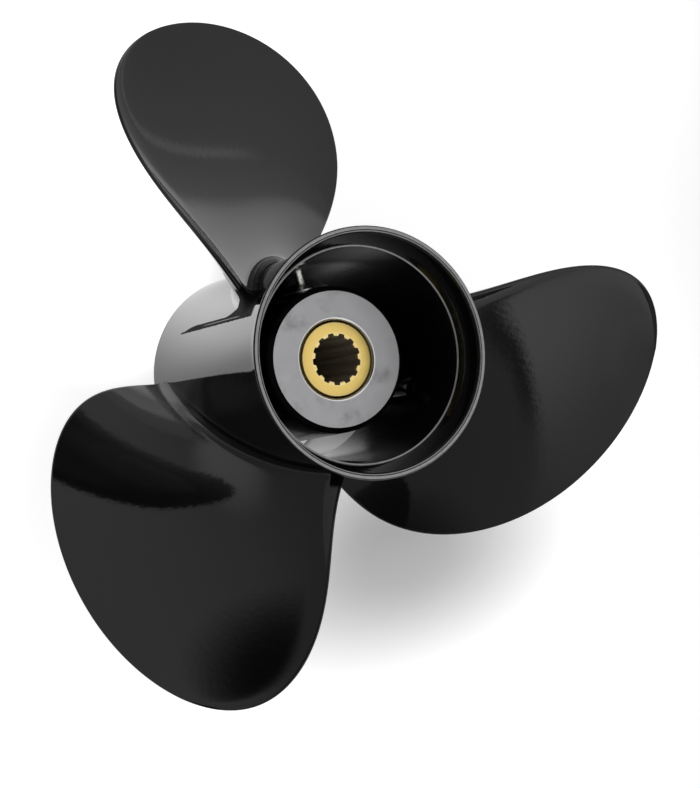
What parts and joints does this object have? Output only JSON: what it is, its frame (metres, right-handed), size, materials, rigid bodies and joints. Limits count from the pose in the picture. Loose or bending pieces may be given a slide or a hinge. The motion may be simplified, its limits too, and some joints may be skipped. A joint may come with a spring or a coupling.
{
  "type": "boat propeller",
  "caption": "Black through-hub exhaust propeller with curved blades round a hollow barrel, a rubber shock bush and a splined brass sleeve for the drive shaft.",
  "frame": {"origin": "on the shaft axis, in the plane of the barrel's front rim, which the part stands on", "axes": "+Z along the shaft axis towards the stern, away from the gearcase; +X from the shaft axis towards one blade, whose root has its middle 5.5 degrees from +X towards +Y; +Y completes the right-handed frame"},
  "size_m": [0.2581, 0.2603, 0.1275],
  "materials": {
    "black_paint": "cast aluminium under gloss black paint",
    "black_rubber": "moulded rubber",
    "brass": "machined brass"
  },
  "bodies": {
    "root": {"propeller_casting": "black_paint", "rubber_bush": "black_rubber", "splined_sleeve": "brass"}
  },
  "joints": []
}
